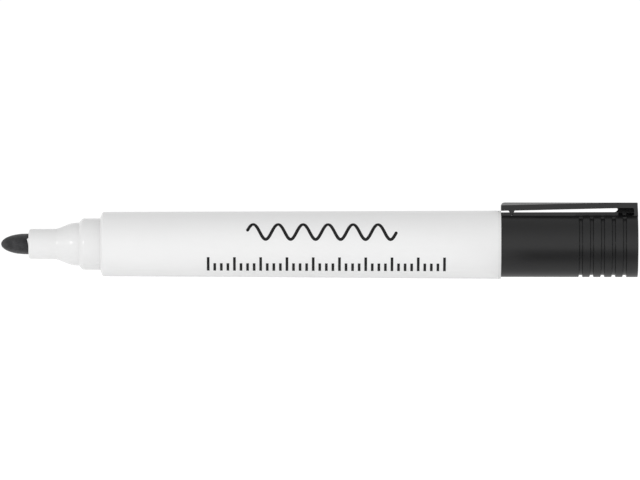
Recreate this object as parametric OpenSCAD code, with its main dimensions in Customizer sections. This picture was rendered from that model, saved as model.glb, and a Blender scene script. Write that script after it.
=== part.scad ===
// Whiteboard marker with its cap posted on its rear end, in millimetres.
// The marker's axis runs along X with the nib towards -X and the clip on +Z.
// The origin is under the middle of the marker, on the surface it lies on.

/* [Nib] */
// Length of nib that stands out of the collar
nib_out = 6.4; // [6:0.1:8]
// Radius of the nib
nib_r = 2.4; // [1.8:0.01:2.4]
// Length of the nib's rounded point
nib_point_len = 5.8; // [3:0.1:5.9]
// Whole length of the nib
nib_len = 38; // [36:0.5:42]

/* [Nib holder] */
// Length of the collar round the nib
collar_len = 6.6; // [5:0.1:8]
// Radius of the collar
collar_r = 3.5; // [3.4:0.01:3.52]
// Length of the cone behind the collar
cone_len = 3.6; // [2:0.1:5]
// Length of the neck
neck_len = 1.8; // [1:0.1:3]
// Radius of the neck
neck_r = 4.97; // [4.7:0.01:5.3]
// Length of the bevelled step behind the neck
step_len = 0.7; // [0.5:0.05:1.5]
// Length of the land that the cap seals on
land_len = 4; // [3:0.05:5]
// Radius of that land, and of the stub at the rear
land_r = 6; // [5.9:0.01:6.04]

/* [Barrel] */
// Length of the barrel
barrel_len = 92.65; // [85:0.05:110]
// Radius of the barrel at its front
barrel_front_r = 7.5; // [7.2:0.05:7.7]
// Radius of the barrel at its rear
barrel_rear_r = 7.95; // [7.8:0.05:8.05]
// Number of ribs that centre the ink reservoir
barrel_rib_count = 6; // [3:1:8]

/* [End plug] */
// Thickness of the flange that closes the barrel's rear
flange_len = 0.6; // [0.4:0.1:1.5]
// Length of the stub that the cap is posted on
stub_len = 9.5; // [6:0.5:10]

/* [Cap] */
// Length of the cap
cap_len = 32; // [31.5:0.05:34]
// Radius of the cap
cap_r = 7.5; // [7.4:0.05:7.6]
// Number of grip grooves
groove_count = 5; // [1:1:5]
// Distance from one groove to the next
groove_pitch = 2.55; // [1.5:0.05:2.6]
// Depth of a groove
groove_depth = 0.48; // [0.2:0.02:0.6]

/* [Clip] */
// Width of the clip and of the rail under it
clip_w = 6.5; // [5:0.1:7]
// Height of the clip's flat top above the marker's axis
clip_top = 9.84; // [9.8:0.01:10.2]
// How far the side edges drop at the clip's free end
clip_crown = 0.7; // [0.3:0.1:0.8]

/* [Hidden] */
$fn = 96;
eps = 0.01;

// Fits
push_gap = 0.02;
running_gap = 0.05;

// Places along the marker, from the nib's tip
collar_x = nib_out;
cone_x = collar_x + collar_len;
neck_x = cone_x + cone_len;
step_x = neck_x + neck_len;
land_x = step_x + step_len;
barrel_x = land_x + land_len;
flange_x = barrel_x + barrel_len;
mouth_x = flange_x + flange_len;
total_len = mouth_x + cap_len;
axis_h = barrel_rear_r;

// Nib holder
collar_round = 0.7;
nib_bore_r = nib_r + push_gap;
nib_tube_overlap = 1;
nib_tube_end = land_x + nib_tube_overlap;
holder_chamber_r = 4.8;
spigot_len = 8;
spigot_r = 5.7;
tongue_len = 0.33;
tongue_w = 1.1;
tongue_angle = 66;

// Barrel
barrel_nose_len = 0.55;
barrel_nose_lip = 0.15;
barrel_nose_r = land_r + barrel_nose_lip;
front_seat_r = spigot_r + push_gap;
bore_front_r = 5.95;
bore_rear_r = 6.4;
rear_seat_r = 6.6;
plug_spigot_len = 10;
rib_w = 0.8;

// Ink reservoir and its film
film_t = 0.12;
reservoir_r = 5.5;
reservoir_gap = 0.3;
reservoir_x = barrel_x + spigot_len + reservoir_gap;
reservoir_end = flange_x - plug_spigot_len - reservoir_gap;
rib_inner_r = reservoir_r + film_t + running_gap;
nib_tail_len = 4;
nib_tail_r = 0.9;

// End plug
plug_wall = 1.1;
plug_rib_w = 0.9;

// Cap
cap_bore_r = land_r + running_gap;
cap_cavity_r = 5.7;
cap_shelf = 12;
cap_end_wall = 1.75;
cap_cavity_end = cap_len - cap_end_wall;
cutter_overshoot = 1;
mouth_round = 0.15;
end_round = 0.35;
first_groove = 18.53;
groove_top_w = 0.93;
groove_floor_w = 0.66;
cap_rib_w = 0.8;
cap_rib_count = 6;

// Cap liner
liner_seal_r = 3.52;
liner_bore_r = 3.62;
liner_wall = 0.75;
liner_len = 13.8;
liner_floor = 1;
liner_flange_len = 0.8;
liner_seal_len = 1.5;
liner_seal_bevel = 0.3;

// Clip, measured from the cap's mouth and up from the marker's axis
rail_proud = 0.02;
rail_rise = 0.12;
rail_front_z = cap_r + rail_proud;
rail_rear_z = rail_front_z + rail_rise;
hinge_x = 27.25;
knuckle_r = 0.62;
socket_r = knuckle_r + running_gap;
hinge_z = clip_top - knuckle_r;
arm_free_z = 7.89;
arm_nose_r = 0.8;
ridge_w = 0.2;
bump_x = 2.5;
bump_top_w = 1.35;
bump_tip_w = 0.2;
bump_tip_z = 6.9;
notch_floor_z = 6.78;
notch_floor_w = 0.9;
notch_top_w = 1.1;
root_x = hinge_x + 0.35;
web_w = 1.8;
web_top = 8.55;
web_slope = 0.55;
end_wall_len = 1.06;

// Points of an arc, from angle a0 to angle a1
function arc(cx, cy, r, a0, a1, steps = 6) =
    [for (i = [0:steps])
        let (a = a0 + (a1 - a0) * i / steps)
        [cx + r * cos(a), cy + r * sin(a)]];

// Puts a shape that stands along +Z on the marker's axis, x from the nib's tip.
// Its +X side then faces the clip, and its +Y side faces -Y.
module on_axis(x) {
    translate([x - total_len / 2, 0, axis_h])
        rotate([0, 90, 0])
        rotate([0, 0, 180])
        children();
}

// Extrudes a side outline across the marker, from the cap's mouth and the axis
module across(width) {
    translate([mouth_x - total_len / 2, 0, axis_h])
        rotate([90, 0, 0])
        linear_extrude(height = width, center = true)
        children();
}

// Ribs round the inside of a bore, as wide as w, from r_in out to r_out
module bore_ribs(count, w, r_in, r_out, len) {
    for (i = [0:count - 1])
        rotate([0, 0, i * 360 / count])
        translate([r_in, -w / 2, 0])
        cube([r_out - r_in, w, len]);
}

module nib() {
    color([0.2, 0.2, 0.21])
    on_axis(0)
    rotate_extrude()
    polygon(concat(
        [for (i = [0:14])
            let (a = 90 * i / 14)
            [nib_r * sin(a), nib_point_len * (1 - cos(a))]],
        [[nib_r, nib_len - nib_tail_len],
         [nib_tail_r, nib_len],
         [0, nib_len]]
    ));
}

// Outline of the nib holder from its collar to its spigot, x along the axis
module holder_outline() {
    spigot_end = barrel_x + spigot_len - push_gap;
    polygon(concat(
        [[nib_bore_r, collar_x]],
        arc(collar_r - collar_round, collar_x + collar_round, collar_round, 270, 360),
        [[collar_r, cone_x],
         [neck_r, neck_x],
         [neck_r, step_x],
         [land_r, land_x],
         [land_r, barrel_x],
         [spigot_r, barrel_x],
         [spigot_r, spigot_end],
         [holder_chamber_r, spigot_end],
         [holder_chamber_r, nib_tube_end],
         [nib_bore_r, nib_tube_end]]
    ));
}

module nib_holder() {
    color("white") {
        on_axis(0)
            rotate_extrude()
            holder_outline();
        on_axis(collar_x - tongue_len)
            rotate([0, 0, tongue_angle])
            translate([nib_r + running_gap, -tongue_w / 2, 0])
            cube([collar_r - collar_round - nib_r, tongue_w, tongue_len + collar_round]);
    }
}

module barrel() {
    seat_end = spigot_len;
    plug_seat = barrel_len - plug_spigot_len - push_gap;
    color("white")
    on_axis(barrel_x) {
        rotate_extrude()
            polygon([
                [front_seat_r, 0],
                [barrel_nose_r, 0],
                [barrel_front_r, barrel_nose_len],
                [barrel_rear_r, barrel_len],
                [rear_seat_r, barrel_len],
                [rear_seat_r, plug_seat],
                [bore_rear_r, plug_seat],
                [bore_front_r, seat_end],
                [front_seat_r, seat_end]
            ]);
        // ribs in the bore, from behind the nib holder to the end plug
        translate([0, 0, seat_end])
            bore_ribs(barrel_rib_count, rib_w, rib_inner_r, bore_rear_r + running_gap,
                plug_seat - seat_end);
    }
}

module ink_reservoir() {
    nib_hole_len = nib_len - reservoir_x;
    color([0.35, 0.35, 0.37])
    difference() {
        on_axis(reservoir_x)
            cylinder(r = reservoir_r, h = reservoir_end - reservoir_x);
        on_axis(reservoir_x - eps)
            cylinder(r = nib_bore_r, h = nib_hole_len + running_gap);
    }
}

module reservoir_wrap() {
    wrap_r = reservoir_r + push_gap;
    wrap_len = reservoir_end - reservoir_x;
    color([0.9, 0.9, 0.92])
    difference() {
        on_axis(reservoir_x)
            cylinder(r = wrap_r + film_t, h = wrap_len);
        on_axis(reservoir_x - eps)
            cylinder(r = wrap_r, h = wrap_len + 2 * eps);
    }
}

// The plug's outline is drawn from its inner end, with a hollow open to the barrel
module end_plug() {
    spigot_r_out = rear_seat_r - push_gap;
    spigot_r_in = spigot_r_out - plug_wall;
    stub_r_in = land_r - plug_wall;
    flange_start = plug_spigot_len;
    stub_start = flange_start + flange_len;
    stub_end = stub_start + stub_len;
    stub_bevel = 0.4;
    color("white")
    on_axis(flange_x - plug_spigot_len) {
        rotate_extrude()
            polygon([
                [spigot_r_in, 0],
                [spigot_r_out, 0],
                [spigot_r_out, flange_start],
                [barrel_rear_r, flange_start],
                [barrel_rear_r, stub_start],
                [land_r, stub_start],
                [land_r, stub_end - stub_bevel],
                [land_r - stub_bevel, stub_end],
                [0, stub_end],
                [0, stub_end - plug_wall],
                [stub_r_in, stub_end - plug_wall],
                [stub_r_in, flange_start],
                [spigot_r_in, flange_start - plug_wall]
            ]);
        // a cross of ribs stiffens the hollow stub
        translate([0, 0, flange_start])
            for (turn = [0, 90])
                rotate([0, 0, turn])
                translate([-stub_r_in - eps, -plug_rib_w / 2, 0])
                cube([2 * stub_r_in + 2 * eps, plug_rib_w, stub_end - plug_wall - flange_start + eps]);
    }
}

// Outside of the cap with its grip grooves, without its bore
module cap_outside() {
    grooves = [for (i = [0:groove_count - 1]) first_groove + i * groove_pitch];
    on_axis(mouth_x + push_gap)
    rotate_extrude()
    polygon(concat(
        [[0, 0]],
        arc(cap_r - mouth_round, mouth_round, mouth_round, 270, 360, 4),
        [for (x = grooves)
            for (corner = [
                [cap_r, x - groove_top_w / 2],
                [cap_r - groove_depth, x - groove_floor_w / 2],
                [cap_r - groove_depth, x + groove_floor_w / 2],
                [cap_r, x + groove_top_w / 2]
            ])
            corner],
        arc(cap_r - end_round, cap_len - push_gap - end_round, end_round, 0, 90, 4),
        [[0, cap_len - push_gap]]
    ));
}

// Flat-topped rail along the cap, which rises a little towards the web
module clip_rail() {
    across(clip_w)
    polygon([
        [push_gap, 0],
        [push_gap, rail_front_z - mouth_round],
        [mouth_round, rail_front_z],
        [hinge_x, rail_rear_z],
        [hinge_x, 0]
    ]);
}

// Notch across the rail that the clip's bump sits in
module bump_notch() {
    across(clip_w + 2 * eps)
    polygon([
        [bump_x - notch_top_w / 2, rail_rear_z + eps],
        [bump_x - notch_floor_w / 2, notch_floor_z],
        [bump_x + notch_floor_w / 2, notch_floor_z],
        [bump_x + notch_top_w / 2, rail_rear_z + eps]
    ]);
}

// Root of the clip: a narrow web, the strap over it and the end wall
module clip_root() {
    across(web_w)
        polygon([
            [hinge_x - web_slope, rail_rear_z - eps],
            [hinge_x, web_top],
            [cap_len - eps, web_top + eps],
            [cap_len - eps, 0],
            [hinge_x - web_slope, 0]
        ]);
    difference() {
        across(clip_w)
            translate([root_x, web_top])
            square([cap_len - root_x, clip_top - web_top]);
        across(clip_w + 2 * eps)
            translate([hinge_x, hinge_z])
            circle(r = socket_r);
    }
    across(clip_w)
        translate([cap_len - end_wall_len, 0])
        square([end_wall_len, clip_top]);
}

module cap() {
    color([0.17, 0.17, 0.18]) {
        difference() {
            union() {
                cap_outside();
                clip_rail();
                clip_root();
            }
            bump_notch();
            on_axis(mouth_x - cutter_overshoot)
                cylinder(r = cap_bore_r, h = cap_shelf + cutter_overshoot);
            on_axis(mouth_x)
                cylinder(r = cap_cavity_r, h = cap_cavity_end);
        }
        // ribs that hold the liner, and a shorter set that it stops on
        on_axis(mouth_x + cap_shelf + liner_flange_len + push_gap)
            bore_ribs(cap_rib_count, cap_rib_w, liner_bore_r + liner_wall + push_gap,
                cap_cavity_r + running_gap,
                cap_cavity_end - cap_shelf - liner_flange_len);
        on_axis(mouth_x + cap_shelf + liner_len + push_gap)
            bore_ribs(cap_rib_count, cap_rib_w, liner_bore_r / 2,
                cap_cavity_r + running_gap, cap_cavity_end - cap_shelf - liner_len);
    }
}

module cap_liner() {
    outer_r = liner_bore_r + liner_wall;
    color([0.93, 0.93, 0.91])
    on_axis(mouth_x + cap_shelf)
    rotate_extrude()
    polygon([
        [liner_seal_r, 0],
        [cap_cavity_r - push_gap, 0],
        [cap_cavity_r - push_gap, liner_flange_len],
        [outer_r, liner_flange_len],
        [outer_r, liner_len],
        [0, liner_len],
        [0, liner_len - liner_floor],
        [liner_bore_r, liner_len - liner_floor],
        [liner_bore_r, liner_seal_len],
        [liner_seal_r, liner_seal_len - liner_seal_bevel]
    ]);
}

// Side outline of the springy arm, with its round knuckle and the bump
module arm_outline() {
    arm_root_z = hinge_z - knuckle_r;
    bump_z = arm_free_z + (arm_root_z - arm_free_z) * bump_x / hinge_x;
    polygon(concat(
        [[mouth_round, arm_free_z],
         [bump_x - bump_top_w / 2, bump_z],
         [bump_x - bump_tip_w / 2, bump_tip_z],
         [bump_x + bump_tip_w / 2, bump_tip_z],
         [bump_x + bump_top_w / 2, bump_z]],
        arc(hinge_x, hinge_z, knuckle_r, 270, 450, 12),
        arc(arm_nose_r, clip_top - arm_nose_r, arm_nose_r, 90, 180),
        [[0, arm_free_z + mouth_round]]
    ));
}

// A block above the slanting plane that drops one side of the arm's top, so
// that the free end is a shallow roof and the root is flat
module crown_cut() {
    pitch = atan(clip_crown / hinge_x);
    roll = atan(clip_crown / ((clip_w - ridge_w) / 2));
    reach = 2 * hinge_x;
    translate([mouth_x + hinge_x - total_len / 2, clip_w / 2, axis_h + clip_top])
        rotate([-roll, -pitch, 0])
        translate([-reach, -reach / 2, 0])
        cube([reach, reach, reach / 4]);
}

module pocket_clip() {
    color([0.19, 0.19, 0.2])
    difference() {
        union() {
            across(clip_w)
                arm_outline();
            across(clip_w)
                translate([hinge_x, hinge_z])
                circle(r = knuckle_r);
        }
        crown_cut();
        mirror([0, 1, 0])
            crown_cut();
    }
}

barrel();
nib_holder();
nib();
ink_reservoir();
reservoir_wrap();
end_plug();
cap();
cap_liner();
pocket_clip();
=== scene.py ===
# %% [markdown]
# # A whiteboard marker
#
# The marker lies on its side with its cap posted on its rear end. Its axis runs
# along X, the nib points to -X and the clip is on top. The CAD model gives the
# frame: where each part is and how it moves. This script makes the pieces that
# are seen, each with the rounded edges, print and finish of a moulded marker.

# %% Load the frame
import math

import bmesh
import bpy
from mathutils import Matrix, Vector, noise


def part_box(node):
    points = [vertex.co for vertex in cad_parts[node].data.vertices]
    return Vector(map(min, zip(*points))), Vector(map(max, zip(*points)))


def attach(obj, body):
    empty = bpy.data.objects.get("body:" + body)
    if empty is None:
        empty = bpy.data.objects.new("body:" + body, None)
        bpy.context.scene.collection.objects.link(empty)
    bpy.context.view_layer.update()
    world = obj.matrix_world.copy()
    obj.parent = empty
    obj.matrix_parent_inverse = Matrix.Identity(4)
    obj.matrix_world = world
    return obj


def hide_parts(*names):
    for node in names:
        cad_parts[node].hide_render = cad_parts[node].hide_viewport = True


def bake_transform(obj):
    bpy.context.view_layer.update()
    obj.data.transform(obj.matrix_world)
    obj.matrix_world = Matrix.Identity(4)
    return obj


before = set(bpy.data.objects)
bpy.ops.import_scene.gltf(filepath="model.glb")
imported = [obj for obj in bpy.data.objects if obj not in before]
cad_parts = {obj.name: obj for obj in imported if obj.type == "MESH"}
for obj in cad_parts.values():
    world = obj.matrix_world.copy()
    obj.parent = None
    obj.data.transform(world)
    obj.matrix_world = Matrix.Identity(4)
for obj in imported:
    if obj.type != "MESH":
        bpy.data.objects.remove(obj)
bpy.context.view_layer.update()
print("nodes:", sorted(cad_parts))

# %% [markdown]
# ## Units and places
#
# A marker has details of a tenth of a millimetre, so each piece is modelled in
# millimetres round an axis at zero, and is scaled to metres at the very end.
# The places along the marker come from the boxes of the CAD nodes.

# %% Places along the marker
MM = 0.001


def span(node):
    """Where a CAD node starts and ends along the marker, in millimetres."""
    low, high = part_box(node)
    return low.x / MM, high.x / MM


nib_start, nib_end = span("nib")
holder_start, holder_end = span("nib_holder")
barrel_start, barrel_end = span("barrel")
plug_start, plug_end = span("end_plug")
cap_start, cap_end = span("cap")
liner_start, liner_end = span("cap_liner")
mouth = span("pocket_clip")[0]
barrel_rear_r = (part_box("barrel")[1].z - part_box("barrel")[0].z) / 2 / MM
axis_height = barrel_rear_r
clip_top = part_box("pocket_clip")[1].z / MM - axis_height
print(f"barrel from {barrel_start:.2f} to {barrel_end:.2f} mm, cap to {cap_end:.2f} mm")

# %% [markdown]
# ## Drawing outlines
#
# Nearly every part of a marker is turned or extruded, so each starts as a flat
# outline of corners. The vertex bevel rounds a corner just as a toolmaker's
# radius does: the arc starts a given distance along the corner's two sides.

# %% Outline with rounded corners
ARC_STEPS = 5


def outline_face(bm, corners):
    """A flat face in the x-z plane from corners (x, z) or (x, z, rounding)."""
    verts = [bm.verts.new((corner[0], 0, corner[1])) for corner in corners]
    bm.faces.new(verts)
    for vert, corner in zip(verts, corners):
        if len(corner) > 2:
            bmesh.ops.bevel(bm, geom=[vert], offset=corner[2], offset_type="OFFSET",
                            segments=ARC_STEPS, profile=0.5, affect="VERTICES", material=-1)
    return bm.faces[:]


# %% [markdown]
# ## Turned parts
#
# The barrel, front section, nib, plug, cap and liner are all round. Spinning an
# outline round the axis makes each in one go. The outline's face is dropped
# first and its edges kept, because only the edges have to sweep the surface.

# %% Spin an outline round the axis
TURN_STEPS = 128
WELD = 0.001


def turned(corners):
    """A solid of revolution round the marker's axis, from corners (x, r, rounding)."""
    bm = bmesh.new()
    faces = outline_face(bm, corners)
    bmesh.ops.delete(bm, geom=faces, context="FACES_ONLY")
    on_axis = [edge for edge in bm.edges if all(abs(vert.co.z) < WELD for vert in edge.verts)]
    bmesh.ops.delete(bm, geom=on_axis, context="EDGES")
    bmesh.ops.spin(bm, geom=bm.verts[:] + bm.edges[:], cent=(0, 0, 0), axis=(1, 0, 0),
                   angle=math.tau, steps=TURN_STEPS, use_merge=True)
    bmesh.ops.remove_doubles(bm, verts=bm.verts[:], dist=WELD)
    bmesh.ops.recalc_face_normals(bm, faces=bm.faces[:])
    return bm


# %% [markdown]
# ## Plates across the marker
#
# The clip, its rail and its root are flat-sided: a side outline with a width.
# An extruded face gives each, and the edges that a finger would feel are then
# bevelled, since no moulded edge is truly sharp.

# %% Extrude an outline to a width
SHARP = math.radians(30)


def plate(corners, width):
    """A plate of this width, centred across the marker, from a side outline."""
    bm = bmesh.new()
    faces = outline_face(bm, corners)
    made = bmesh.ops.extrude_face_region(bm, geom=faces)["geom"]
    moved = [item for item in made if isinstance(item, bmesh.types.BMVert)]
    bmesh.ops.translate(bm, vec=(0, width, 0), verts=moved)
    bmesh.ops.translate(bm, vec=(0, -width / 2, 0), verts=bm.verts[:])
    bmesh.ops.recalc_face_normals(bm, faces=bm.faces[:])
    return bm


def ease_edges(bm, size, wanted):
    """Bevels the sharp edges that the test asks for."""
    edges = [edge for edge in bm.edges if edge.calc_face_angle(0) > SHARP and wanted(edge)]
    bmesh.ops.bevel(bm, geom=edges, offset=size, offset_type="OFFSET", segments=3,
                    profile=0.5, affect="EDGES", clamp_overlap=True, material=-1)


# %% [markdown]
# ## Joining solids
#
# A moulding is one solid, so the rail, web and end wall are welded into the cap
# with the exact boolean, which leaves no hidden faces inside. It works on
# objects, so two short-lived ones carry the meshes through it.

# %% Weld or cut one solid with another
def combined(base, part, operation):
    """Joins part to base, or cuts it out of base, and gives the result as a bmesh."""
    carriers = []
    for bm in (base, part):
        mesh = bpy.data.meshes.new("carrier")
        bm.to_mesh(mesh)
        bm.free()
        carrier = bpy.data.objects.new("carrier", mesh)
        bpy.context.scene.collection.objects.link(carrier)
        carriers.append(carrier)
    boolean = carriers[0].modifiers.new("boolean", "BOOLEAN")
    boolean.operation = operation
    boolean.solver = "EXACT"
    boolean.object = carriers[1]
    result = bmesh.new()
    result.from_object(carriers[0], bpy.context.evaluated_depsgraph_get())
    for carrier in carriers:
        mesh = carrier.data
        bpy.data.objects.remove(carrier)
        bpy.data.meshes.remove(mesh)
    return result


# %% [markdown]
# ## From outline to finished piece
#
# Each piece is put in its place in metres, shaded smooth with its real edges
# kept sharp, and given weighted normals so that small rounded edges don't
# smear their shading over the long flat walls beside them.

# %% Place a piece
def placed(name, bm, material):
    """Makes an object of a bmesh that is in millimetres round the axis."""
    bmesh.ops.remove_doubles(bm, verts=bm.verts[:], dist=WELD)
    bmesh.ops.scale(bm, vec=(MM, MM, MM), verts=bm.verts[:])
    bmesh.ops.translate(bm, vec=(0, 0, axis_height * MM), verts=bm.verts[:])
    loose = sum(1 for edge in bm.edges if not edge.is_manifold)
    for face in bm.faces:
        face.smooth = True
    for edge in bm.edges:
        edge.smooth = edge.smooth and edge.calc_face_angle(0) <= SHARP
    mesh = bpy.data.meshes.new(name)
    bm.to_mesh(mesh)
    bm.free()
    mesh.materials.append(material)
    piece = bpy.data.objects.new(name, mesh)
    bpy.context.scene.collection.objects.link(piece)
    normals = piece.modifiers.new("weighted_normals", "WEIGHTED_NORMAL")
    normals.keep_sharp = True
    print(f"{name}: {len(mesh.polygons)} faces, {loose} open edges")
    return piece


# %% [markdown]
# ## Building materials
#
# Every finish is a Principled shader fed by patterns in Object coordinates, so
# the patterns are fixed to the piece and have a real size. One function adds
# any node, with its properties, values and links.

# %% Node and colour helpers
def srgb(code):
    """A hex colour as linear red, green, blue and alpha."""
    channels = [int(code[i:i + 2], 16) / 255 for i in (1, 3, 5)]
    return [c / 12.92 if c <= 0.04045 else ((c + 0.055) / 1.055) ** 2.4 for c in channels] + [1]


def add(tree, kind, inputs=None, **settings):
    """Adds a node with its settings, and sets or links its inputs."""
    made = tree.nodes.new("ShaderNode" + kind)
    for name, value in settings.items():
        setattr(made, name, value)
    for socket, value in (inputs or {}).items():
        if isinstance(value, bpy.types.NodeSocket):
            tree.links.new(value, made.inputs[socket])
        else:
            made.inputs[socket].default_value = value
    return made


def start_material(name):
    """A new material with an empty tree, and the node that gives Object coordinates."""
    material = bpy.data.materials.new(name)
    material.use_nodes = True
    tree = material.node_tree
    tree.nodes.clear()
    return material, tree, add(tree, "TexCoord").outputs["Object"]


def per_mm(size):
    """The scale that gives a pattern this size in millimetres."""
    return 1 / (size * MM)


# %% [markdown]
# ## Injection-moulded plastic
#
# The barrel, front section, cap and plug are moulded polypropylene. Such
# a surface has a faint orange peel from the mould's polish, slow drifts of
# colour and gloss where the melt flowed, and fine scuffs from handling. Three
# noises at those three sizes give it, and only the numbers differ by part.

# %% Moulded plastic
def moulded(name, light, dark, rough, peel_mm, peel_depth_mm, ior, scuff):
    """A moulded plastic with flow marks, orange peel and fine scuffs."""
    material, tree, place = start_material(name)
    flow = add(tree, "TexNoise", {"Vector": place, "Scale": per_mm(9), "Detail": 3.0,
                                  "Roughness": 0.6})
    colour = add(tree, "Mix", {"Factor": flow.outputs["Fac"], "A": srgb(dark), "B": srgb(light)},
                 data_type="RGBA")
    # scuffs run along the part, because it is slid in and out of pockets
    along = add(tree, "Mapping", {"Vector": place, "Scale": (0.08, 1, 1)})
    scuffs = add(tree, "TexNoise", {"Vector": along.outputs[0], "Scale": per_mm(0.35),
                                    "Detail": 4.0, "Roughness": 0.7})
    gloss = add(tree, "MapRange", {"Value": scuffs.outputs["Fac"], "From Min": 0.35,
                                   "From Max": 0.75, "To Min": rough - scuff / 2,
                                   "To Max": rough + scuff / 2})
    peel = add(tree, "TexNoise", {"Vector": place, "Scale": per_mm(peel_mm), "Detail": 2.0})
    bump = add(tree, "Bump", {"Height": peel.outputs["Fac"], "Strength": 1.0,
                              "Distance": peel_depth_mm * MM})
    shader = add(tree, "BsdfPrincipled", {
        "Base Color": colour.outputs["Result"], "Roughness": gloss.outputs["Result"],
        "Normal": bump.outputs["Normal"], "IOR": ior})
    add(tree, "OutputMaterial", {"Surface": shader.outputs["BSDF"]})
    return material


# the barrel, bright and even, with a soft broad shine
barrel_plastic = moulded("white_satin_polypropylene", "#E5E5E5", "#E1E1E1", 0.34, 1.1, 0.004,
                         1.5, 0.06)
# the front section and plug, a touch darker and glossier than the barrel
holder_plastic = moulded("white_moulded_polypropylene", "#E1E1E1", "#DDDDDD", 0.2, 0.9, 0.003,
                         1.49, 0.05)
# the cap and clip, nearly black, with the soft shine of a waxy plastic
cap_plastic = moulded("black_moulded_polypropylene", "#151516", "#111112", 0.33, 0.5, 0.003,
                      1.46, 0.1)
# unpigmented polyethylene, which looks milky
liner_plastic = moulded("natural_moulded_polyethylene", "#ECEBE4", "#E3E2DA", 0.42, 0.8, 0.004,
                        1.51, 0.04)

# %% [markdown]
# ## Pressed fibre
#
# The nib is a bundle of acrylic fibres bonded and ground to a bullet, soaked in
# black ink. It is matt, with streaks along the fibres on its sides and dots at
# the point, where the fibres end. A noise that is stretched along the marker
# gives both, because the ground point cuts across the streaks.

# %% Bonded fibre
def bonded_fibre(name, light, dark, fibre_mm, length_mm, relief_mm):
    """Parallel fibres along the marker, with patches that hold more or less ink."""
    material, tree, place = start_material(name)
    along = add(tree, "Mapping", {"Vector": place, "Scale": (fibre_mm / length_mm, 1, 1)})
    fibres = add(tree, "TexNoise", {"Vector": along.outputs[0], "Scale": per_mm(fibre_mm),
                                    "Detail": 3.0, "Roughness": 0.65})
    patches = add(tree, "TexNoise", {"Vector": place, "Scale": per_mm(1.6), "Detail": 2.0})
    amount = add(tree, "Math", {0: fibres.outputs["Fac"], 1: patches.outputs["Fac"]},
                 operation="MULTIPLY")
    spread = add(tree, "MapRange", {"Value": amount.outputs[0], "From Min": 0.12,
                                    "From Max": 0.42})
    colour = add(tree, "Mix", {"Factor": spread.outputs["Result"], "A": srgb(dark),
                               "B": srgb(light)}, data_type="RGBA")
    bump = add(tree, "Bump", {"Height": fibres.outputs["Fac"], "Strength": 1.0,
                              "Distance": relief_mm * MM})
    shader = add(tree, "BsdfPrincipled", {
        "Base Color": colour.outputs["Result"], "Normal": bump.outputs["Normal"],
        "Roughness": 0.75, "IOR": 1.4, "Sheen Weight": 0.25, "Sheen Roughness": 0.5})
    add(tree, "OutputMaterial", {"Surface": shader.outputs["BSDF"]})
    return material


# drawn as coarse as the render can show: real fibres are some 0.02 mm thick
nib_fibre = bonded_fibre("ink_soaked_acrylic_fibre", "#3A3A3C", "#141416", 0.14, 1.1, 0.03)
# the polyester wadding inside, grey with ink
reservoir_fibre = bonded_fibre("inked_polyester_wadding", "#6A6A70", "#303036", 0.1, 6, 0.03)

# %% [markdown]
# ## Film and print
#
# A clear film is shrunk round the reservoir: thin, glossy and slightly wrinkled
# across. The print is screen ink, which lies on the barrel as a thin matt layer
# with a few pinholes where the mesh let less ink through.

# %% Clear film
reservoir_film, tree, place = start_material("clear_polypropylene_film")
across = add(tree, "Mapping", {"Vector": place, "Scale": (1, 0.15, 0.15)})
wrinkles = add(tree, "TexNoise", {"Vector": across.outputs[0], "Scale": per_mm(1.5)})
bump = add(tree, "Bump", {"Height": wrinkles.outputs["Fac"], "Strength": 1.0,
                          "Distance": 0.02 * MM})
shader = add(tree, "BsdfPrincipled", {
    "Base Color": srgb("#F4F5F7"), "Roughness": 0.12, "IOR": 1.49, "Alpha": 0.35,
    "Normal": bump.outputs["Normal"]})
add(tree, "OutputMaterial", {"Surface": shader.outputs["BSDF"]})

# %% Screen ink
print_ink, tree, place = start_material("black_screen_ink")
mesh_marks = add(tree, "TexNoise", {"Vector": place, "Scale": per_mm(0.12), "Detail": 2.0})
cover = add(tree, "MapRange", {"Value": mesh_marks.outputs["Fac"], "From Min": 0.6,
                               "From Max": 0.8})
colour = add(tree, "Mix", {"Factor": cover.outputs["Result"], "A": srgb("#0B0B0C"),
                           "B": srgb("#2B2B2C")}, data_type="RGBA")
relief = add(tree, "Bump", {"Height": mesh_marks.outputs["Fac"], "Strength": 1.0,
                            "Distance": 0.003 * MM})
shader = add(tree, "BsdfPrincipled", {
    "Base Color": colour.outputs["Result"], "Roughness": 0.5, "IOR": 1.33,
    "Normal": relief.outputs["Normal"]})
add(tree, "OutputMaterial", {"Surface": shader.outputs["BSDF"]})

# %% [markdown]
# ## The barrel
#
# A long white tube, 0.45 mm bigger at the rear than at the front so that it
# comes off its mould core. Its bore holds the front section's spigot, the
# reservoir and the end plug. It is one closed outline, spun round the axis.

# %% Barrel
CRISP = 0.06
SOFT = 0.1
FIT_GAP = 0.02
SPIGOT_R = 5.7
PLUG_R = 6.58
CORE_FRONT_R, CORE_REAR_R = 5.95, 6.4
FACE_R = 6.15
BEVEL_LENGTH = 0.55
SEAT_DEPTH = 8
barrel_front_r = 7.5
spigot_seat_end = barrel_start + SEAT_DEPTH
plug_seat_start = plug_start - FIT_GAP
barrel = placed("barrel_tube", turned([
    (barrel_start, SPIGOT_R + FIT_GAP, SOFT),
    (barrel_start, FACE_R, SOFT),
    (barrel_start + BEVEL_LENGTH, barrel_front_r, 0.25),
    (barrel_end, barrel_rear_r, CRISP),
    (barrel_end, PLUG_R + FIT_GAP, CRISP),
    (plug_seat_start, PLUG_R + FIT_GAP),
    (plug_seat_start, CORE_REAR_R),
    (spigot_seat_end, CORE_FRONT_R),
    (spigot_seat_end, SPIGOT_R + FIT_GAP),
]), barrel_plastic)
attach(barrel, "barrel")
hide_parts("barrel")

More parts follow.
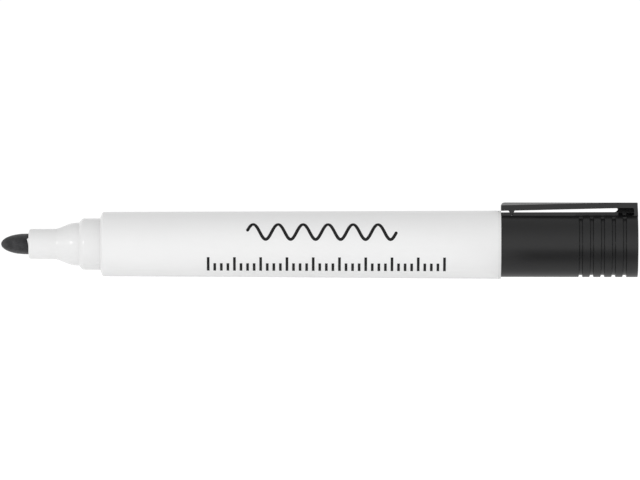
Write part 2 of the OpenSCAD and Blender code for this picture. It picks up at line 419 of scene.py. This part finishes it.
# %% [markdown]
# ## The front section
#
# The collar grips the nib, a short cone and a neck lead to the land that the
# cap seals on, and a spigot is pressed into the barrel. A small lip stands out
# where the mould's vent met the nib bore: a few vertices of the bore's rim are
# drawn forward, most in the middle and less towards its sides.

# %% Front section
NIB_R = 2.4
LIP = 0.33
COLLAR_LENGTH, COLLAR_FRONT_R, COLLAR_REAR_R = 6.6, 3.52, 3.54
CONE_LENGTH = 3.6
NECK_LENGTH, NECK_R = 1.6, 5.0
STEP_LENGTH, LAND_R = 0.7, 6.0
NIB_STOP = 1.2
SPIGOT_BORE_R = 4.8
collar_start = holder_start + LIP
collar_end = collar_start + COLLAR_LENGTH
neck_start = collar_end + CONE_LENGTH
neck_end = neck_start + NECK_LENGTH
land_start = neck_end + STEP_LENGTH
front_section_bm = turned([
    (collar_start, NIB_R + FIT_GAP, 0.12),
    (collar_start, COLLAR_FRONT_R, 0.65),
    (collar_end, COLLAR_REAR_R, 0.5),
    (neck_start, NECK_R, 1.1),
    (neck_end, NECK_R, SOFT),
    (land_start, LAND_R, 0.55),
    (barrel_start, LAND_R),
    (barrel_start, SPIGOT_R),
    (holder_end, SPIGOT_R, 0.2),
    (holder_end, SPIGOT_BORE_R),
    (land_start + NIB_STOP, SPIGOT_BORE_R),
    (land_start + NIB_STOP, NIB_R + FIT_GAP),
])
LIP_MIDDLE = math.radians(23)
LIP_ABOVE, LIP_BELOW = math.radians(7), math.radians(34)
LIP_WIDTH, LIP_DEPTH = 0.5, 0.2
for vert in front_section_bm.verts:
    from_bore = math.hypot(vert.co.y, vert.co.z) - NIB_R
    away = math.atan2(vert.co.z, -vert.co.y) - LIP_MIDDLE
    share = away / LIP_ABOVE if away > 0 else -away / LIP_BELOW
    if vert.co.x < collar_start + LIP_DEPTH and from_bore < LIP_WIDTH and share < 1:
        vert.co.x -= LIP * (1 - share) ** 1.5
front_section = placed("front_section", front_section_bm, holder_plastic)
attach(front_section, "barrel")
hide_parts("nib_holder")

# %% [markdown]
# ## The nib
#
# A fibre rod with a ground bullet point and a narrow tail in the reservoir. The
# point is a quarter ellipse spun round the axis. A real one isn't quite round
# once it has been written with, so each vertex moves in or out a little.

# %% Nib
POINT_LENGTH = 5.8
POINT_STEPS = 18
TAIL_LENGTH, TAIL_R = 4, 0.9
WEAR = 0.03
WEAR_PER_MM = 0.9
UNWORN = 0.2
point = []
for i in range(POINT_STEPS + 1):
    angle = math.pi / 2 * i / POINT_STEPS
    point.append((nib_start + POINT_LENGTH * (1 - math.cos(angle)), NIB_R * math.sin(angle)))
nib_bm = turned(point + [(nib_end - TAIL_LENGTH, NIB_R), (nib_end, TAIL_R, 0.2), (nib_end, 0)])
for vert in nib_bm.verts:
    if nib_start < vert.co.x < nib_start + POINT_LENGTH - UNWORN:
        factor = 1 + WEAR * noise.noise(vert.co * WEAR_PER_MM) / NIB_R
        vert.co.y *= factor
        vert.co.z *= factor
nib = placed("fibre_nib", nib_bm, nib_fibre)
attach(nib, "barrel")
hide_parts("nib")

# %% [markdown]
# ## The end plug
#
# A hollow plug closes the barrel. Its thin flange shows as a fine ring in front
# of the cap, and the cap is posted on its stub. The stub's end has the small
# sunk mark where the plastic was injected.

# %% End plug
STUB_R = 6.0
PLUG_WALL = 1.1
GATE_R, GATE_SLOPE = 1.6, 0.2
PLUG_GATE_DEPTH = 0.3
stub_bore_r = STUB_R - PLUG_WALL
plug_bore_r = PLUG_R - PLUG_WALL
plug = placed("rear_plug", turned([
    (plug_start, plug_bore_r),
    (plug_start, PLUG_R, 0.2),
    (barrel_end, PLUG_R),
    (barrel_end, barrel_rear_r, CRISP),
    (mouth, barrel_rear_r, CRISP),
    (mouth, STUB_R, 0.15),
    (plug_end, STUB_R, 0.5),
    (plug_end, GATE_R, SOFT),
    (plug_end - PLUG_GATE_DEPTH, GATE_R - GATE_SLOPE, SOFT),
    (plug_end - PLUG_GATE_DEPTH, 0),
    (plug_end - PLUG_WALL, 0),
    (plug_end - PLUG_WALL, stub_bore_r, 0.3),
    (barrel_end, stub_bore_r, 0.3),
    (barrel_end - PLUG_WALL, plug_bore_r, 0.3),
]), holder_plastic)
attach(plug, "barrel")
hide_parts("end_plug")

# %% [markdown]
# ## The cap's body
#
# The cap is a turned cup with five grip grooves near its closed end. A flat
# rail runs along its top under the clip, with a notch for the clip's bump. Its
# sides lean in from just before the grooves on, and a foot on each side closes
# the grooves' ends. At the closed end a narrow web, a little wider at its foot
# so that it leaves the mould, and an end wall carry the clip. Each is a plate
# across the marker, welded to the cup as one moulding.

# %% Cup with grip grooves
CAP_R = 7.5
CAP_BORE_R = 6.05
CAVITY_R = 5.7
END_WALL = 1.75
CAP_GATE_DEPTH = 0.25
DOME = 0.0025
GROOVES = 5
GROOVE_PITCH = 2.55
GROOVE_DEPTH = 0.48
GROOVE_TOP, GROOVE_FLOOR = 0.465, 0.33
EASED_GROOVE = 0.08
first_groove = mouth + 18.53
grooves = []
for i in range(GROOVES):
    x = first_groove + i * GROOVE_PITCH
    grooves += [(x - GROOVE_TOP, CAP_R, EASED_GROOVE),
                (x - GROOVE_FLOOR, CAP_R - GROOVE_DEPTH, CRISP),
                (x + GROOVE_FLOOR, CAP_R - GROOVE_DEPTH, CRISP),
                (x + GROOVE_TOP, CAP_R, EASED_GROOVE)]


def domed_end(height):
    """Where the cap's slightly domed end is at this height from the axis."""
    return cap_end - DOME * height ** 2


cup = turned([
    (cap_start, CAP_BORE_R, 0.12),
    (cap_start, CAP_R, SOFT),
    *grooves,
    (domed_end(CAP_R), CAP_R, 0.2),
    (domed_end(6), 6),
    (domed_end(4), 4),
    (cap_end, GATE_R, SOFT),
    (cap_end - CAP_GATE_DEPTH, GATE_R - GATE_SLOPE, SOFT),
    (cap_end - CAP_GATE_DEPTH, 0),
    (cap_end - END_WALL, 0),
    (cap_end - END_WALL, CAVITY_R, 0.3),
    (liner_start, CAVITY_R),
    (liner_start, CAP_BORE_R),
])

# %% Rail
CLIP_W = 6.5
EDGE = 0.12
BURIED = 6.1
RAIL_LEAN = 0.13
hinge_x = mouth + 27.25
lean_x = mouth + 16.5
rail_front_z = CAP_R + 0.02
rail_rear_z = rail_front_z + 0.12
rail = plate([
    (cap_start, BURIED),
    (cap_start, rail_front_z, 0.15),
    (hinge_x, rail_rear_z, CRISP),
    (hinge_x, BURIED),
], CLIP_W)
for station in (lean_x, lean_x + 1):
    bmesh.ops.bisect_plane(rail, geom=rail.verts[:] + rail.edges[:] + rail.faces[:],
                           plane_co=(station, 0, 0), plane_no=(1, 0, 0), dist=WELD / 10)
for vert in rail.verts:
    if vert.co.z < BURIED + WELD and vert.co.x > lean_x + WELD:
        share = 0.5 + 0.5 * (vert.co.x - lean_x - 1) / (hinge_x - lean_x - 1)
        vert.co.y *= 1 - RAIL_LEAN * share
ease_edges(rail, EDGE, lambda edge: all(vert.co.z > BURIED + WELD for vert in edge.verts))

# %% Web
WEB_W = 1.3
WEB_DRAFT = 0.43
strap_z = 8.55
wall_x = cap_end - 1.06
weld_x = wall_x + 0.1
weld_z = strap_z + 0.02
web = plate([
    (hinge_x - 1.0, BURIED),
    (hinge_x - 1.0, rail_rear_z - 0.05),
    (hinge_x - 0.6, rail_rear_z, 0.2),
    (hinge_x + 0.05, strap_z - 0.3, 0.25),
    (hinge_x - 0.25, weld_z),
    (weld_x, weld_z),
    (weld_x, BURIED),
], WEB_W)
for vert in web.verts:
    vert.co.y *= 1 + WEB_DRAFT * (strap_z - vert.co.z)

# %% End wall
seam_z = 7.95
seam_x = domed_end(seam_z)
WALL_FOOT_Z = 6.8
wall = plate([
    (wall_x - 0.5, BURIED),
    (wall_x - 0.5, 6.76),
    (wall_x, 6.9, 0.12),
    (wall_x, seam_z),
    (seam_x, seam_z),
    (domed_end(WALL_FOOT_Z), WALL_FOOT_Z),
    (domed_end(WALL_FOOT_Z), BURIED),
], CLIP_W)
ease_edges(wall, EDGE, lambda edge: abs(edge.verts[0].co.y - edge.verts[1].co.y) < WELD
           and abs(edge.verts[0].co.z - edge.verts[1].co.z) > 0.2)

# %% Notch for the clip's bump
NOTCH_FLOOR_Z = 6.86
NOTCH_TOP, NOTCH_FLOOR = 0.5, 0.15
bump_x = mouth + 2.5
notch = plate([
    (bump_x - NOTCH_TOP, rail_rear_z + 0.1),
    (bump_x - NOTCH_FLOOR, NOTCH_FLOOR_Z, CRISP),
    (bump_x + NOTCH_FLOOR, NOTCH_FLOOR_Z, CRISP),
    (bump_x + NOTCH_TOP, rail_rear_z + 0.1),
], CLIP_W + 1)

# %% Feet that close the grooves beside the rail
FOOT_FROM, FOOT_TO = 2.9, 3.7
FOOT_LOW, FOOT_HIGH = 5.5, 6.5
FOOT_LEAN = 0.25
feet = []
for side in (-1, 1):
    foot = plate([(lean_x, FOOT_LOW), (lean_x, FOOT_HIGH), (wall_x, FOOT_HIGH),
                  (wall_x, FOOT_LOW)], FOOT_TO - FOOT_FROM)
    bmesh.ops.translate(foot, vec=(0, side * (FOOT_TO + FOOT_FROM) / 2, 0), verts=foot.verts[:])
    for vert in foot.verts:
        if vert.co.z < FOOT_LOW + WELD and abs(vert.co.y) > FOOT_TO - WELD:
            vert.co.y -= side * FOOT_LEAN
    feet.append(foot)

# %% Weld the cap
cap_bm = cup
for part in (rail, *feet, web, wall):
    cap_bm = combined(cap_bm, part, "UNION")
cap_bm = combined(cap_bm, notch, "DIFFERENCE")
cap = placed("cap_body", cap_bm, cap_plastic)
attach(cap, "cap")
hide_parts("cap")

# %% [markdown]
# ## The pocket clip
# The clip is part of the same moulding: a springy arm over the rail, which goes
# on past its root as a strap to the end wall. Its side outline has the rounded
# nose and the bump that grips a pocket, and the bump is a little narrower than
# the arm. Two sloping cuts make the top a shallow roof at the nose that runs out
# flat at the root. The roof's edges are too blunt for the angle test, so they
# are marked as sharp one by one. Since the arm bends where it leaves the web,
# it is cut into short lengths there.

# %% Clip arm and strap
ARM_Z = 7.89
BUMP_TOP, BUMP_TIP = 0.675, 0.12
BUMP_TIP_Z = 6.9
CROWN = 0.7
RIDGE_W = 0.2
bump_z = ARM_Z + (strap_z - ARM_Z) * (bump_x - mouth) / (hinge_x - mouth)
arm = plate([
    (mouth, ARM_Z, 0.25),
    (bump_x - BUMP_TOP, bump_z, SOFT),
    (bump_x - BUMP_TIP, BUMP_TIP_Z, CRISP),
    (bump_x + BUMP_TIP, BUMP_TIP_Z, CRISP),
    (bump_x + BUMP_TOP, bump_z, SOFT),
    (hinge_x - 0.3, strap_z),
    (wall_x, strap_z, 0.45),
    (wall_x, seam_z),
    (seam_x, seam_z),
    (domed_end(clip_top), clip_top, 0.12),
    (mouth, clip_top, 0.8),
], CLIP_W)
pitch = CROWN / (hinge_x - mouth)
roll = CROWN / ((CLIP_W - RIDGE_W) / 2)
for side in (-1, 1):
    slope = Vector((-pitch, side * roll, 1)).normalized()
    edge_point = (hinge_x, side * CLIP_W / 2, clip_top)
    cut = bmesh.ops.bisect_plane(arm, geom=arm.verts[:] + arm.edges[:] + arm.faces[:],
                                 plane_co=edge_point, plane_no=slope, clear_outer=True,
                                 dist=WELD / 10)
    rim = [item for item in cut["geom_cut"] if isinstance(item, bmesh.types.BMEdge)]
    bmesh.ops.edgeloop_fill(arm, edges=rim)
bmesh.ops.recalc_face_normals(arm, faces=arm.faces[:])
ease_edges(arm, SOFT, lambda edge: not all(abs(vert.co.z - seam_z) < WELD for vert in edge.verts))

# %% Bend, bump and roof edges
BEND_STEPS = 10
BEND_LENGTH = 6
BEND_PAST_HINGE = 1
BUMP_ROOT_Z = 7.2
BUMP_TAPER = 0.9
ROOF_CREASE = math.radians(3)
FACES_UP = 0.9
for i in range(BEND_STEPS + 1):
    along = i * (BEND_LENGTH + BEND_PAST_HINGE) / BEND_STEPS
    bmesh.ops.bisect_plane(arm, geom=arm.verts[:] + arm.edges[:] + arm.faces[:],
                           plane_co=(hinge_x - BEND_LENGTH + along, 0, 0), plane_no=(1, 0, 0),
                           dist=WELD / 10)
bmesh.ops.recalc_face_normals(arm, faces=arm.faces[:])
for vert in arm.verts:
    vert.co.z = min(vert.co.z, clip_top)
    if vert.co.z < BUMP_ROOT_Z:
        vert.co.y *= BUMP_TAPER
for edge in arm.edges:
    on_roof = all(face.normal.z > FACES_UP for face in edge.link_faces)
    if on_roof and edge.calc_face_angle(0) > ROOF_CREASE:
        edge.smooth = False

# %% Place the clip
clip = placed("clip_arm", arm, cap_plastic)
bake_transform(clip)
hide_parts("pocket_clip")

# %% [markdown]
# ## The liner
#
# A soft cup inside the cap closes over the nib's collar, so that the ink stays
# wet. It has a flange that sits on the cap's shelf and a thin sealing lip.

# %% Cap liner
LINER_WALL = 0.75
SEAL_R, LINER_BORE_R = 3.52, 3.62
SEAL_LENGTH, SEAL_LEAD = 1.2, 0.3
FLANGE = 0.8
LINER_FLOOR = 1
liner_r = LINER_BORE_R + LINER_WALL
liner = placed("seal_cup", turned([
    (liner_start, SEAL_R, SOFT),
    (liner_start, CAVITY_R - FIT_GAP, SOFT),
    (liner_start + FLANGE, CAVITY_R - FIT_GAP, SOFT),
    (liner_start + FLANGE, liner_r, SOFT),
    (liner_end, liner_r, 0.4),
    (liner_end, 0),
    (liner_end - LINER_FLOOR, 0),
    (liner_end - LINER_FLOOR, LINER_BORE_R, 0.4),
    (liner_start + SEAL_LENGTH + SEAL_LEAD, LINER_BORE_R),
    (liner_start + SEAL_LENGTH, SEAL_R),
]), liner_plastic)
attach(liner, "cap")
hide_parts("cap_liner")

# %% [markdown]
# ## Inside the barrel
#
# The reservoir and its film never show while the marker is whole. Their CAD
# shapes are right as they are, so they only get their real finish.

# %% Reservoir and film
for node, material in (("ink_reservoir", reservoir_fibre), ("reservoir_wrap", reservoir_film)):
    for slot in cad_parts[node].material_slots:
        slot.material = material

# %% [markdown]
# ## The print
#
# Two rows of black print face the viewer: a waving line, like a stroke drawn
# with the marker, and a plain scale of ticks. Each is drawn flat as a thin
# layer of ink, with z as the distance round the barrel, and then rolled onto
# the barrel's taper. It is real geometry, so it has the edge of a screen print.

# %% Roll a flat print onto the barrel
INK_SUNK = 0.01
INK_HEIGHT = 0.018


def barrel_radius(x):
    """The barrel's outer radius at a place along it."""
    share = (x - barrel_start) / (barrel_end - barrel_start)
    return barrel_front_r + (barrel_rear_r - barrel_front_r) * share


def rolled_print(name, bm):
    """Thickens a flat print and rolls it onto the barrel."""
    made = bmesh.ops.extrude_face_region(bm, geom=bm.faces[:])["geom"]
    raised = {item for item in made if isinstance(item, bmesh.types.BMVert)}
    for vert in bm.verts:
        height = INK_HEIGHT if vert in raised else -INK_SUNK
        radius = barrel_radius(vert.co.x)
        angle = vert.co.z / radius
        vert.co.y = -(radius + height) * math.cos(angle)
        vert.co.z = (radius + height) * math.sin(angle)
    bmesh.ops.recalc_face_normals(bm, faces=bm.faces[:])
    piece = placed(name, bm, print_ink)
    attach(piece, "barrel")
    return piece


# %% Waving line
STROKE = 0.72
WAVES = 6
WAVE_STEPS = 32
wave_start, wave_end = -16.9, 17.9
wave_centre, wave_height = 3.05, 1.9
wave_length = (wave_end - wave_start) / WAVES
wave_bm = bmesh.new()
side_of = wave_bm.verts.layers.int.new("side")
lead = [wave_bm.verts.new((0, 0, 0)), wave_bm.verts.new((0, 0, 0))]
lead[0][side_of], lead[1][side_of] = -1, 1
edge = wave_bm.edges.new(lead)
ends = lead[:]
for i in range(WAVES * WAVE_STEPS + 1):
    if i:
        made = bmesh.ops.extrude_edge_only(wave_bm, edges=[edge])["geom"]
        edge = next(item for item in made if isinstance(item, bmesh.types.BMEdge)
                    and all(vert in made for vert in item.verts))
    phase = math.tau * i / WAVE_STEPS
    slope = wave_height * math.tau / wave_length * math.cos(phase)
    normal = Vector((-slope, 0, 1)).normalized()
    middle = Vector((wave_start + wave_length * i / WAVE_STEPS, 0,
                     wave_centre + wave_height * math.sin(phase)))
    for vert in edge.verts:
        vert.co = middle + normal * (vert[side_of] * STROKE / 2)
bmesh.ops.bevel(wave_bm, geom=ends + list(edge.verts), offset=STROKE * 0.48,
                offset_type="OFFSET", segments=4, profile=0.5, affect="VERTICES", material=-1)
rolled_print("print_wave", wave_bm)

# %% Scale of ticks
TICKS = 37
TICK_W = 0.62
scale_start, scale_end = -25.9, 29.0
scale_foot = -7.1
short_tick, long_tick = 2.4, 4.0
scale_bm = bmesh.new()
for i in range(TICKS):
    height = long_tick if i % 4 == 0 else short_tick
    x = scale_start + (scale_end - scale_start) * i / (TICKS - 1)
    tick = bmesh.ops.create_grid(scale_bm, x_segments=1, y_segments=6, size=0.5)["verts"]
    bmesh.ops.scale(scale_bm, vec=(TICK_W, height, 1), verts=tick)
    bmesh.ops.rotate(scale_bm, cent=(0, 0, 0), verts=tick,
                     matrix=Matrix.Rotation(math.radians(90), 3, "X"))
    bmesh.ops.translate(scale_bm, vec=(x, 0, scale_foot + height / 2), verts=tick)
rolled_print("print_scale", scale_bm)

# %% [markdown]
# ## Floor, light and camera
#
# The marker lies on a light table: a pale floor that glows a little, so that it
# lights the marker from below. Two soft patches of it carry painted shade: their
# colour and glow are dimmed, so they look like shadows on the floor though no
# lamp casts them. The one before the cap is a painted shadow that keeps the cap
# black, because a smooth black wall shows whatever table it faces, and the one
# under the barrel is a painted shadow that gives the white barrel a darker edge.
# Over the table is a soft white sky, bright near the horizon and dimmer overhead.
# A lamp at the front left gives the small highlights, two wide boxes fill in from
# the sides, and the view has its plain, unfiltered tones.

# %% Floor
GLOW = 0.62
floor_bm = bmesh.new()
bmesh.ops.create_grid(floor_bm, x_segments=1, y_segments=1, size=4)
floor_mesh = bpy.data.meshes.new("floor")
floor_bm.to_mesh(floor_mesh)
floor_bm.free()
floor = bpy.data.objects.new("floor", floor_mesh)
bpy.context.scene.collection.objects.link(floor)
light_table, tree, place = start_material("opal_light_table")
where = add(tree, "SeparateXYZ", {0: place})


def painted_shade_patch(keeps, *sides):
    """How much of its colour and glow a patch of painted shade on the table keeps. A side is an
    axis and a ramp in mm.
    """
    inside = None
    for axis, start, end in sides:
        ramp = add(tree, "MapRange", {"Value": where.outputs[axis], "From Min": start * MM,
                                      "From Max": end * MM}, interpolation_type="SMOOTHSTEP")
        inside = ramp.outputs["Result"] if inside is None else add(
            tree, "Math", {0: inside, 1: ramp.outputs["Result"]}, operation="MULTIPLY").outputs[0]
    return add(tree, "MapRange", {"Value": inside, "To Min": 1.0, "To Max": keeps}).outputs[0]


# a painted shadow on the floor before the cap, which the cap's black wall reflects
painted_shadow_before_cap = painted_shade_patch(0.42, ("Y", -40, -18), ("Y", -5, -12), ("X", 38, 51), ("X", 96, 68))
# a painted shadow on the floor under the barrel, which darkens the barrel's lower edge
painted_shadow_under_barrel = painted_shade_patch(0.9, ("Y", -14, -7), ("Y", 16, 8), ("X", -80, -50), ("X", 46, 40))
painted_shade_kept = add(tree, "Math", {0: painted_shadow_before_cap, 1: painted_shadow_under_barrel}, operation="MULTIPLY").outputs[0]
# black is the colour of the painted shade; outside the patches the floor is an even pale grey
floor_colour_with_painted_shade = add(tree, "Mix", {"Factor": painted_shade_kept, "A": srgb("#000000"), "B": srgb("#C4C4C4")},
           data_type="RGBA")
# the floor's glow is dimmed by the same painted shade
power = add(tree, "Math", {0: painted_shade_kept, 1: GLOW}, operation="MULTIPLY")
shader = add(tree, "BsdfPrincipled", {
    "Base Color": floor_colour_with_painted_shade.outputs["Result"], "Roughness": 0.8,
    "Emission Color": srgb("#FFFFFF"), "Emission Strength": power.outputs[0]})
add(tree, "OutputMaterial", {"Surface": shader.outputs["BSDF"]})
floor_mesh.materials.append(light_table)

# %% Sky
sky = bpy.data.worlds.new("studio")
bpy.context.scene.world = sky
sky.use_nodes = True
tree = sky.node_tree
tree.nodes.clear()
direction = add(tree, "TexCoord").outputs["Generated"]
height = add(tree, "SeparateXYZ", {0: direction}).outputs["Z"]
ramp = add(tree, "ValToRGB", {"Fac": height})
brightness = [(0.0, 1.05), (0.2, 1.03), (0.41, 1.0), (0.6, 0.85), (0.87, 0.66), (1.0, 0.56)]
stops = ramp.color_ramp.elements
while len(stops) < len(brightness):
    stops.new(1.0)
for stop, (position, value) in zip(stops, brightness):
    stop.position = position
    stop.color = (value, value, value, 1)
glow = add(tree, "Background", {"Color": ramp.outputs["Color"], "Strength": 1.0})
add(tree, "OutputWorld", {"Surface": glow.outputs["Background"]})


# %% Lamps
def lamp(name, place, width, height, power):
    """A soft box that faces the marker."""
    light = bpy.data.lights.new(name, "AREA")
    light.shape = "RECTANGLE"
    light.size = width
    light.size_y = height
    light.energy = power
    made = bpy.data.objects.new(name, light)
    made.location = place
    made.rotation_euler = (-Vector(place)).to_track_quat("-Z", "Y").to_euler()
    made.visible_camera = False
    bpy.context.scene.collection.objects.link(made)


lamp("front_lamp", (-0.5, -0.86, 0.13), 0.1, 0.16, 0.8)
lamp("left_box", (-0.55, -0.5, 0.1), 0.4, 0.4, 0.3)
lamp("right_box", (0.55, -0.5, 0.1), 0.4, 0.4, 0.3)

# %% Camera
VIEW_WIDTH = 149.0 * MM
DISTANCE = 2.9
camera_data = bpy.data.cameras.new("camera")
camera_data.sensor_width = 36
camera_data.lens = DISTANCE * camera_data.sensor_width / VIEW_WIDTH
camera_data.clip_start = 0.1
camera = bpy.data.objects.new("camera", camera_data)
EYE_HEIGHT = 3 * MM
VIEW_HEIGHT = 8.975 * MM
camera.location = (0.08 * MM, -DISTANCE, EYE_HEIGHT)
tilt = math.atan((VIEW_HEIGHT - EYE_HEIGHT) / DISTANCE)
camera.rotation_euler = (math.radians(90) + tilt, math.radians(-0.096), 0)
bpy.context.scene.collection.objects.link(camera)
bpy.context.scene.camera = camera
bpy.context.scene.view_settings.view_transform = "Standard"
